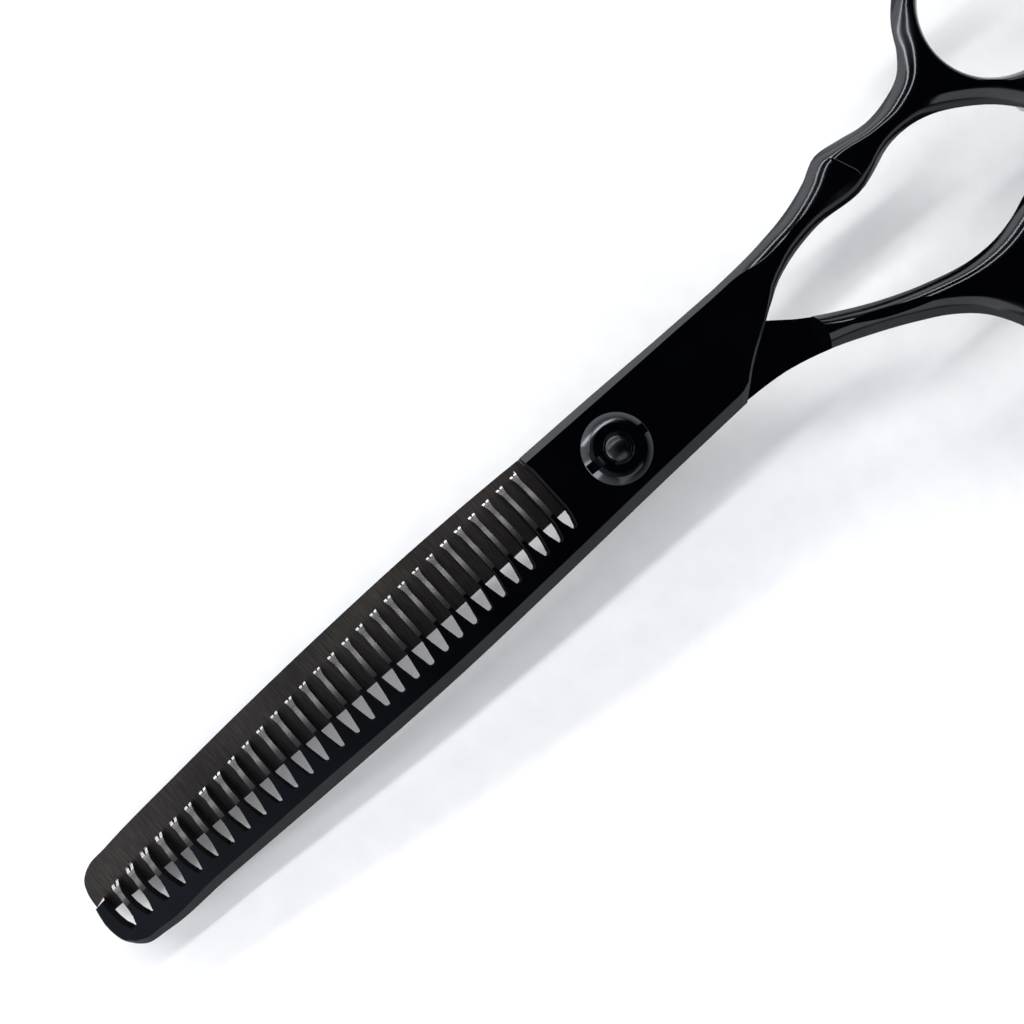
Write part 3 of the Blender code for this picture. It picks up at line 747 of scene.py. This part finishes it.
def crease_cutter():
    """Thin V groove across the knuckle that follows the rounded surface."""
    start = Vector(CREASE_START)
    stop = Vector(CREASE_STOP)
    across = (stop - start).normalized().orthogonal()
    mesh = bmesh.new()
    rows = []
    for k in range(CREASE_STEPS + 1):
        t = k / CREASE_STEPS
        x, y = start.lerp(stop, t)
        reach = min(t, 1 - t) * (stop - start).length
        drop = SHANK[1] * max(1 - reach / SHANK[0], 0.0) ** 2
        z = toothed_top(x, y) + crown(x, y) - drop
        aside = across * CREASE_SIDE
        corners = [(x, y, z - CREASE_DEPTH), (x - aside.x, y - aside.y, z + CREASE_OVER),
                   (x + aside.x, y + aside.y, z + CREASE_OVER)]
        rows.append([mesh.verts.new(Vector(c) * MM) for c in corners])
    for a, b in zip(rows, rows[1:]):
        for i in range(3):
            mesh.faces.new((a[i - 1], a[i], b[i], b[i - 1]))
    mesh.faces.new(rows[0])
    mesh.faces.new(rows[-1][::-1])
    bmesh.ops.recalc_face_normals(mesh, faces=mesh.faces)
    return with_material(add_mesh("crease", mesh), BLACK)


def notch_outline(x):
    """V notch in the tip of one tooth."""
    tip = tooth_tip_y(x)
    return [(x - TOOTH_NOTCH_WIDE, tip - TOOTH_NOTCH_DEEP),
            (x + TOOTH_NOTCH_WIDE, tip - TOOTH_NOTCH_DEEP),
            (x + TOOTH_NOTCH_MID, tip + TOOTH_NOTCH_MID), (x, tip + TOOTH_NOTCH_DEEP),
            (x - TOOTH_NOTCH_MID, tip + TOOTH_NOTCH_MID)]


def bevel_height(x, y):
    """Upper surface of the teeth: it curves down from the flat to the tip."""
    thick = blade_thickness(x) + BEVEL_LIFT
    t = (BEVEL_Y - y) / (BEVEL_Y - tooth_tip_y(x))
    return RIDE + thick - (thick - TIP_EDGE) * t ** 2


def station_solid(name, xs, line, mat):
    """Solid lofted through one outline of y and z at each x."""
    mesh = bmesh.new()
    rows = [[mesh.verts.new(Vector((x, y, z)) * MM) for y, z in line(x)] for x in xs]
    for a, b in zip(rows, rows[1:]):
        for i in range(len(a)):
            mesh.faces.new((a[i - 1], b[i - 1], b[i], a[i]))
    mesh.faces.new(rows[0])
    mesh.faces.new(rows[-1][::-1])
    bmesh.ops.recalc_face_normals(mesh, faces=mesh.faces)
    return with_material(add_mesh(name, mesh), mat)


def bevel_line(x):
    """Bevel of the teeth, carried on a little beyond their tips."""
    reach = BEVEL_Y - tooth_tip_y(x)
    line = []
    for k in range(BEVEL_STEPS + 3):
        y = BEVEL_Y - reach * k / BEVEL_STEPS
        line.append((y, bevel_height(x, y)))
    return line + [(line[-1][0], OVER_BEVEL), (BEVEL_Y, OVER_BEVEL)]


def tip_line(x):
    """Steep chamfer along the tips."""
    tip = tooth_tip_y(x)
    top = bevel_height(x, tip + TIP_CHAMFER)
    foot = top - CHAMFER_SLOPE * TIP_CHAMFER
    return [(tip + TIP_CHAMFER, top), (tip - TIP_CHAMFER, foot), (tip - 1.0, foot),
            (tip - 1.0, OVER_BEVEL), (tip + TIP_CHAMFER, OVER_BEVEL)]


def ring_hole(centre, axes, turn):
    last = 360.0 - 360.0 / HOLE_STEPS
    return smooth_loop(ellipse(centre, axes, turn, 0.0, last, HOLE_STEPS, RING))[::-1]


def toothed_half():
    tips = [(x, tooth_tip_y(x), FINE) for x in TIPS_X]
    ring = ellipse(FINGER_RING, [a + FINGER_WALL for a in FINGER_HOLE], FINGER_TURN,
                   -65.0, -266.0, 14, RING)
    outer = smooth_loop(TOOTHED_FRONT + tips + TOOTHED_BACK + ring + TOOTHED_INSIDE)[::-1]
    hole = ring_hole(FINGER_RING, FINGER_HOLE, FINGER_TURN)
    half = plate("toothed_blade_half", [outer, hole], low_height,
                 lambda x, y: toothed_top(x, y) + crown(x, y))
    half.data.materials.append(BLACK)
    underside = block("underside", (0, -BEYOND_EDGE_Y, BELOW),
                      (BEYOND_TIP_X, BEYOND_EDGE_Y, RIDE + SLIT))
    bevel_x = (BEVEL_START_X, *STATIONS_X, END_TOOTH_X)
    chamfer_x = (CHAMFER_X[0], *STATIONS_X, CHAMFER_X[1])
    notches = [notch_outline(FIRST_GAP_X + PITCH * (i + 0.5)) for i in range(TEETH - 1)]
    cutters = [
        with_material(cylinder("relief", RELIEF_R, BELOW, RIDE + SLIT, 256), INNER_FACE),
        with_material(underside, INNER_FACE),
        station_solid("tooth_bevel", bevel_x, bevel_line, GROUND),
        station_solid("tip_chamfer", chamfer_x, tip_line, BARE),
        gap_cutters(),
        crease_cutter(),
        with_material(prism("notches", notches, 0.0, OVER_PLATE), GROUND),
        cylinder("bush_bore", BUSH_R + CLEAR, 1.0, OVER_BORE),
        cylinder("bearing_well", WELL_R, WELL_FLOOR, OVER_BORE),
        bumper_bore(),
        rest_bore()]
    cut(half, cutters)
    shade(half)
    return half


def plain_half():
    ring = ellipse(THUMB_RING, [a + THUMB_WALL for a in THUMB_HOLE], THUMB_TURN,
                   12.0, 236.0, 16, RING)
    outer = smooth_loop(PLAIN_FRONT + ring + PLAIN_INSIDE)
    hole = ring_hole(THUMB_RING, THUMB_HOLE, THUMB_TURN)
    half = plate("plain_blade_half", [outer, hole], low_height, plain_top)
    half.data.materials.append(BLACK)
    knife = block("knife_bevel", (9.0, -30, -6), (BEYOND_TIP_X, 30, 0))
    knife.location = Vector((0, KNIFE_Y, RIDE - KNIFE_DROP)) * MM
    knife.rotation_euler = (radians(KNIFE_TURN), 0, 0)
    upper_side = block("upper_side", (0, -BEYOND_EDGE_Y, RIDE - SLIT),
                       (BEYOND_TIP_X, BEYOND_EDGE_Y, OVER_PLATE))
    washer_low = RIDE - SLIT - RIDE_WASHER_THICK - CLEAR
    cutters = [
        with_material(cylinder("relief", RELIEF_R, RIDE - SLIT, OVER_PLATE, 256), BLACK),
        with_material(upper_side, INNER_FACE),
        with_material(knife, BLACK),
        cylinder("head_recess", HEAD_R + CLEAR, BELOW, HEAD_TOP + CLEAR),
        cylinder("washer_recess", RIDE_WASHER_R + CLEAR, washer_low, OVER_PLATE),
        flatted_rod("bolt_bore", BOLT_R + CLEAR, BOLT_FLAT + CLEAR, 0.5, OVER_BORE)]
    cut(half, cutters)
    shade(half)
    return half


# ---------------------------------------------------------------- the pivot

def flatted_rod(name, radius, flat, low, high):
    """Round rod with two flats, each the given distance from its axis."""
    edge = []
    for i in range(96):
        angle = 2 * pi * i / 96
        edge.append((radius * cos(angle), min(max(radius * sin(angle), -flat), flat)))
    return prism(name, [edge], low, high)


def pivot_bolt():
    hole = CAP_R + CLEAR * CAP_CLEAR
    profile = [(0, 0), (HEAD_R, 0), (HEAD_R, HEAD_TOP), (BOLT_R, HEAD_TOP),
               (BOLT_R, NECK_Z - CLEAR), (NECK_R, NECK_Z - CLEAR), (NECK_R, BOLT_TOP),
               (hole, BOLT_TOP), (hole, CAP_LOW - CLEAR), (0, CAP_LOW - CLEAR)]
    bolt = turned("pivot_bolt_fine", round_corners(profile, {1: 0.35, 2: 0.1, 6: 0.07, 7: 0.04}))
    bolt.data.materials.append(BLACK)
    flats = []
    for side in (-1, 1):
        low_y, high_y = sorted((side * BOLT_FLAT, side * BOLT_REACH))
        flats.append(block("bolt_flat", (-BOLT_REACH, low_y, HEAD_TOP),
                           (BOLT_REACH, high_y, RIDE - SLIT)))
    slot = block("bolt_slot", (-SLOT_HALF[0], -SLOT_HALF[1], BELOW), (*SLOT_HALF, SLOT_DEEP))
    cut(bolt, flats + [slot])
    shade(bolt)
    return bolt


def tension_nut():
    """Disc with a flat top, a sloping band round it and two notches for a spanner."""
    bore = BOLT_R + CLEAR * NUT_CLEAR
    band = NUT_TOP - (NUT_BAND_R - NUT_FLAT_R) * tan(radians(BAND_SLOPE))
    rim = band - (NUT_R - NUT_BAND_R) * tan(radians(RIM_SLOPE))
    profile = [(bore, NUT_LOW - NUT_BOSS), (NUT_BOSS_R, NUT_LOW - NUT_BOSS), (NUT_BOSS_R, NUT_LOW),
               (NUT_R, NUT_LOW), (NUT_R, rim), (NUT_BAND_R, band), (NUT_FLAT_R, NUT_TOP),
               (NUT_LIP_R, NUT_TOP), (NUT_LIP_R, NECK_Z), (bore, NECK_Z)]
    nut = turned("tension_nut_fine", round_corners(profile, {4: 0.05, 5: 0.07, 6: 0.15, 7: 0.06}),
                 steps=160)
    nut.data.materials.append(BLACK)
    notches = []
    for side in (0, 180):
        notch = block("notch_%d" % side, (NUT_R - NOTCH_DEEP, -NOTCH_WIDE / 2, NUT_LOW + NOTCH_FLOOR),
                      (NUT_R + 1, NOTCH_WIDE / 2, NUT_TOP + 1))
        notch.rotation_euler = (0, 0, radians(side + NOTCH_TURN))
        notches.append(notch)
    cut(nut, notches)
    soften(nut, 0.05, limit=50)
    shade(nut)
    return nut


def lock_cap():
    bend = (CAP_R ** 2 + CAP_RISE ** 2) / (2 * CAP_RISE)
    dome = []
    for k in range(CAP_STEPS):
        r = CAP_R * (1 - k / CAP_STEPS)
        dome.append((r, CAP_TOP - bend + sqrt(bend ** 2 - r ** 2)))
    cap = turned("lock_cap_fine", [(0, CAP_LOW), (CAP_R, CAP_LOW)] + dome + [(0, CAP_TOP)])
    cap.data.materials.append(SATIN)
    shade(cap)
    return cap


# ---------------------------------------------------------------- bumper and finger rest

def bumper_frame():
    return Matrix.Translation(Vector((BUMPER_X, BUMPER_FACE_Y, RING_MID)) * MM) @ Matrix.Rotation(
        -pi / 2, 4, "X")


def bumper_bore():
    bore = cylinder("bumper_bore", BUMPER_STEM_R + CLEAR, -BUMPER_STEM - CLEAR, 3.0, 48)
    bore.matrix_world = bumper_frame()
    return bore


def bumper():
    reach = BUMPER_TOP_Y - BUMPER_FACE_Y
    profile = [(0, -BUMPER_STEM), (BUMPER_STEM_R, -BUMPER_STEM), (BUMPER_STEM_R, LIFT),
               (BUMPER_R, LIFT), (BUMPER_R, reach), (0, reach)]
    piece = turned("bumper_fine", round_corners(profile, {3: 0.15, 4: 0.9}, 8), steps=64)
    piece.data.transform(bumper_frame())
    piece.data.materials.append(RUBBER)
    shade(piece, 35)
    return piece


def rest_frame():
    angle = radians(REST_ANGLE)
    axes = [a + FINGER_WALL for a in FINGER_HOLE]
    spin = Matrix.Rotation(radians(FINGER_TURN), 2)
    place = Vector(FINGER_RING) + spin @ Vector((axes[0] * cos(angle), axes[1] * sin(angle)))
    out = spin @ Vector((cos(angle) / axes[0], sin(angle) / axes[1]))
    return Matrix.Translation(Vector((*place, RING_MID)) * MM) @ Matrix.Rotation(
        atan2(out.y, out.x), 4, "Z")


def rest_bore():
    bore = cylinder("rest_bore", REST_STUD_R + CLEAR, -REST_STUD - CLEAR, 3.0, 48)
    bore.matrix_world = rest_frame() @ Matrix.Rotation(pi / 2, 4, "Y")
    return bore


def finger_rest():
    """One swept piece: stud, collar, and a curved rod that swells and ends in a dome."""
    edgeless = [(*p, (0, 0, 0)) for p in REST_PATH]
    edgeless[0] += (CORNER,)
    edgeless[-1] += (CORNER,)
    path = smooth_loop(edgeless, longest=0.4)[:, :2]
    end = int(np.argmin(np.linalg.norm(path - np.array(REST_PATH[-1]), axis=1)))
    path = path[:end + 1]
    along = np.concatenate(([0], np.cumsum(np.linalg.norm(np.diff(path, axis=0), axis=1))))
    total = along[-1]

    def point(s):
        if s < 0:
            return Vector((s, 0, 0)), Vector((1, 0, 0))
        x = np.interp(s, along, path[:, 0])
        y = np.interp(s, along, path[:, 1])
        ahead = min(s + 0.3, total)
        behind = max(ahead - 0.6, 0)
        step = Vector((np.interp(ahead, along, path[:, 0]) - np.interp(behind, along, path[:, 0]),
                       np.interp(ahead, along, path[:, 1]) - np.interp(behind, along, path[:, 1]), 0))
        return Vector((x, y, 0)), step.normalized()

    sections = [(-REST_STUD, 0.0), (-REST_STUD, REST_STUD_R), (LIFT, REST_STUD_R)] + REST_COLLAR
    for k in range(REST_STEPS + 1):
        s = REST_ROD + (total - REST_ROD - REST_DOME) * k / REST_STEPS
        t = k / REST_STEPS
        swell = REST_SWELL * max(t - REST_SWELL_FROM, 0) ** 1.2
        sections.append((s, REST_ROD_R - REST_TAPER * t + swell))
    last = sections[-1][1]
    for k in range(1, DOME_STEPS + 1):
        angle = pi / 2 * k / DOME_STEPS
        sections.append((total - REST_DOME + REST_DOME * sin(angle), last * cos(angle)))
    mesh = bmesh.new()
    sides = 40
    rows = []
    for s, radius in sections:
        centre, ahead = point(s)
        left = Vector((-ahead.y, ahead.x, 0))
        if radius < 1e-6:
            rows.append([mesh.verts.new(centre * MM)])
            continue
        rows.append([mesh.verts.new((centre + left * radius * cos(2 * pi * i / sides)
                                     + Vector((0, 0, radius * sin(2 * pi * i / sides)))) * MM)
                     for i in range(sides)])
    for a, b in zip(rows, rows[1:]):
        for i in range(sides):
            quad = (a[(i - 1) % len(a)], a[i % len(a)], b[i % len(b)], b[(i - 1) % len(b)])
            mesh.faces.new(list(dict.fromkeys(quad)))
    bmesh.ops.recalc_face_normals(mesh, faces=mesh.faces)
    piece = add_mesh("finger_rest_fine", mesh)
    piece.data.transform(rest_frame())
    piece.data.materials.append(BLACK)
    shade(piece, 35)
    return piece


# ---------------------------------------------------------------- assembly

def place_piece(piece, body, replaced):
    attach(piece, body)
    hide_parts(replaced)


def dress_node(name, mat):
    obj = bpy.data.objects[name]
    if not obj.material_slots:
        obj.data.materials.append(mat)
    for slot in obj.material_slots:
        slot.material = mat


def build():
    place_piece(toothed_half(), "finger_side", "toothed_half")
    place_piece(plain_half(), "thumb_side", "plain_half")
    place_piece(pivot_bolt(), "thumb_side", "pivot_bolt")
    place_piece(tension_nut(), "nut", "tension_nut")
    place_piece(lock_cap(), "thumb_side", "lock_cap")
    place_piece(bumper(), "finger_side", "bumper")
    place_piece(finger_rest(), "finger_side", "finger_rest")
    dress_node("pivot_bushing", BRASS)
    dress_node("bearing_cage", BRASS)
    dress_node("spring_washer", BEARING)
    dress_node("ride_washer", POLYMER)
    for i in range(BALLS):
        dress_node("bearing_ball_%d" % (i + 1), BEARING)


# ---------------------------------------------------------------- stage, light and camera

def floor():
    mesh = bmesh.new()
    bmesh.ops.create_grid(mesh, x_segments=1, y_segments=1, size=FLOOR_REACH)
    obj = add_mesh("floor", mesh)
    mat, shader = new_material("paper", (0.9, 0.905, 0.91), 0.0, 0.7)
    grain = stretched_noise(mat, (1.0, 1.0, 1.0), 300.0, 3.0)
    tone = two_tone(mat, grain, "Fac", (0.88, 0.886, 0.893), (0.92, 0.923, 0.926))
    join(mat, tone, "Color", shader, "Base Color")
    obj.data.materials.append(mat)
    obj.location = Vector((0, 0, -FLOOR_DROP)) * MM
    obj.rotation_euler = (0, radians(-FLOOR_TILT), 0)


def area_light(name, place, target, size, power):
    data = bpy.data.lights.new(name, "AREA")
    data.shape = "RECTANGLE"
    data.size, data.size_y = size
    data.energy = power
    obj = bpy.data.objects.new(name, data)
    obj.location = place
    obj.rotation_euler = (Vector(target) - Vector(place)).to_track_quat("-Z", "Y").to_euler()
    SCENE.collection.objects.link(obj)


def multiply_add(mat, source, output, factor):
    """Math node: the value times the factor, plus whatever reaches its third input."""
    made = node(mat, "ShaderNodeMath", operation="MULTIPLY_ADD")
    made.inputs[1].default_value = factor
    join(mat, source, output, made, 0)
    return made


def world():
    """Dark overhead and towards the rings, bright low down on the side of the tube lights."""
    made = bpy.data.worlds.new("studio")
    SCENE.world = made
    made.use_nodes = True
    background = made.node_tree.nodes["Background"]
    coords = node(made, "ShaderNodeTexCoord")
    split = node(made, "ShaderNodeSeparateXYZ")
    join(made, coords, "Generated", split, "Vector")
    lean = multiply_add(made, split, "Y", LEAN_Y)
    join(made, split, "Z", lean, 2)
    away = multiply_add(made, split, "X", LEAN_X)
    join(made, lean, "Value", away, 2)
    low_down = remap(made, away, "Value", 1.0, 0.0, *LOW_BAND)
    overhead = two_tone(made, split, "X", (0.012, 0.014, 0.026), (0.2, 0.22, 0.27), *OVERHEAD_X)
    # The Mix node's colour sockets have no names of their own: 0 is the factor, 6 and 7 the two
    # colours, and output 2 the result
    fade = node(made, "ShaderNodeMix", data_type="RGBA")
    join(made, low_down, "Result", fade, 0)
    join(made, overhead, "Color", fade, 6)
    fade.inputs[7].default_value = (1.0, 1.0, 1.0, 1.0)
    side = multiply_add(made, split, "Y", SIDE_SHARE)
    side.inputs[2].default_value = SIDE_BASE
    join(made, fade, 2, background, "Color")
    join(made, side, "Value", background, "Strength")


def lights():
    for name, (place, size, power) in (("tip_box", TIP_BOX), ("spine_box", SPINE_BOX)):
        area_light(name, place, (0, 0, 0), size, power)
    for name, elevation in TUBES.items():
        angle = radians(elevation)
        place = (TUBE_X, -TUBE_REACH * cos(angle), TUBE_REACH * sin(angle))
        area_light(name, place, (TUBE_X, 0, 0), TUBE_SIZE, TUBE_POWER)


def camera():
    data = bpy.data.cameras.new("camera")
    data.lens = CAMERA_LENS
    data.sensor_width = CAMERA_SENSOR
    data.clip_start = CAMERA_NEAR
    obj = bpy.data.objects.new("camera", data)
    tilt = Matrix.Rotation(radians(CAMERA_TILT), 4, "Y")
    turn = Matrix.Rotation(radians(CAMERA_TURN), 4, "Z")
    obj.matrix_world = Matrix.Translation(Vector(CAMERA_PLACE) * MM) @ (tilt @ turn)
    SCENE.collection.objects.link(obj)
    SCENE.camera = obj


floor()
world()
lights()
camera()
build()
SCENE.view_settings.view_transform = "Standard"
